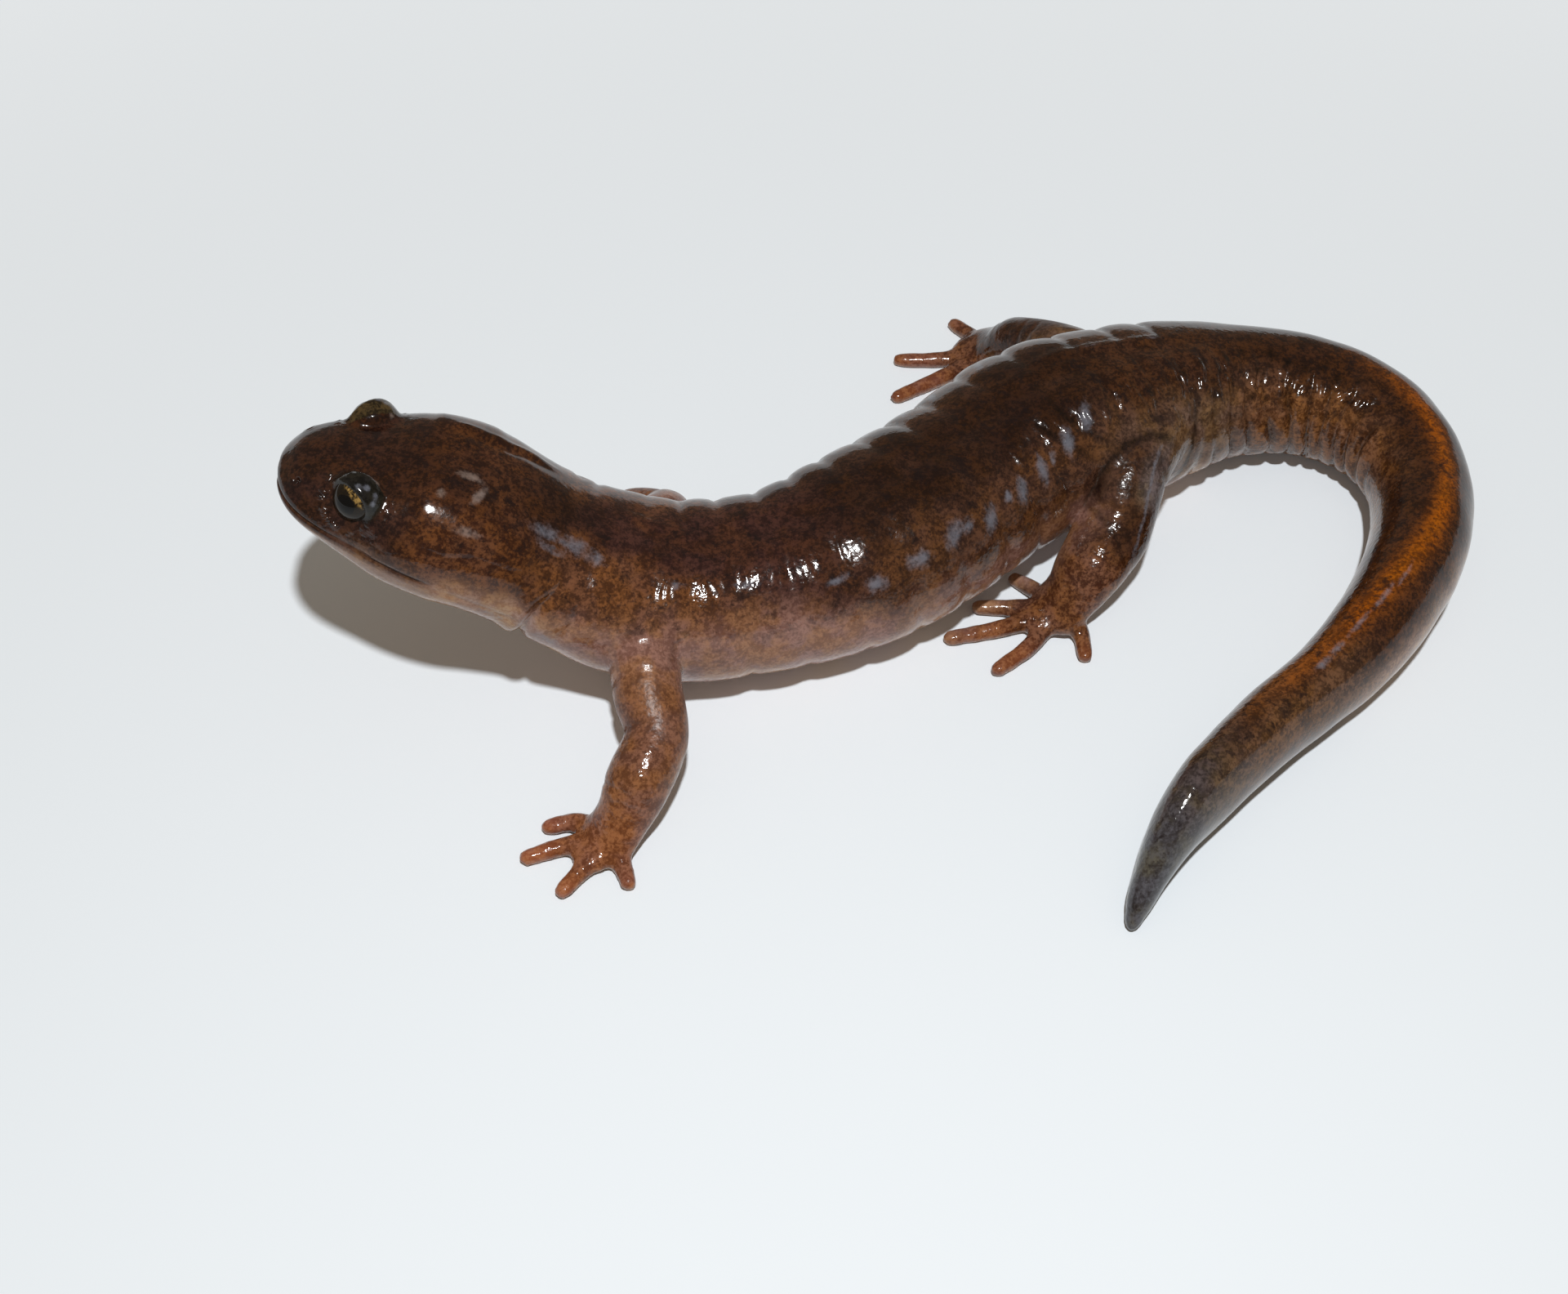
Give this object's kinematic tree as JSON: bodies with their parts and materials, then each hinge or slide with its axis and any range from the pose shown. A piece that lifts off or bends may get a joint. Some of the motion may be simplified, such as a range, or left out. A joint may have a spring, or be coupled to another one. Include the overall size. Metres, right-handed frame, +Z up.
{
  "type": "tago salamander model",
  "caption": "Still life-size model of a small brown salamander with raised head, sprawled legs and a tail curled forward, resting on its belly, tail and feet.",
  "frame": {"origin": "centre of the bounding box in plan, at the floor that the belly, tail and feet rest on", "axes": "+X towards the tail bend and away from the snout, +Y towards the animal's right side, +Z up"},
  "size_m": [0.0734, 0.0496, 0.0182],
  "materials": {
    "skin_head": "wet skin, dark red-brown with fine ochre mottling",
    "skin_back": "wet skin, dark brown with fine ochre mottling and purple-black blotches",
    "skin_tail": "wet skin, dark brown with an orange-brown ridge",
    "skin_limb": "wet skin, orange-brown",
    "skin_hand": "wet skin, orange-brown with reddish digit tips",
    "eye": "glossy black with gold flecks on the upper iris"
  },
  "bodies": {
    "root": {"head": "skin_head", "left_eye": "eye", "right_eye": "eye", "neck": "skin_back", "torso_front": "skin_back", "torso_middle": "skin_back", "torso_rear": "skin_back", "tail_base": "skin_tail", "tail_middle": "skin_tail", "tail_rear": "skin_tail", "tail_tip": "skin_tail", "left_arm": "skin_limb", "left_hand": "skin_hand", "right_arm": "skin_limb", "right_hand": "skin_hand", "left_leg": "skin_limb", "left_foot": "skin_hand", "right_leg": "skin_limb", "right_foot": "skin_hand"}
  },
  "joints": []
}
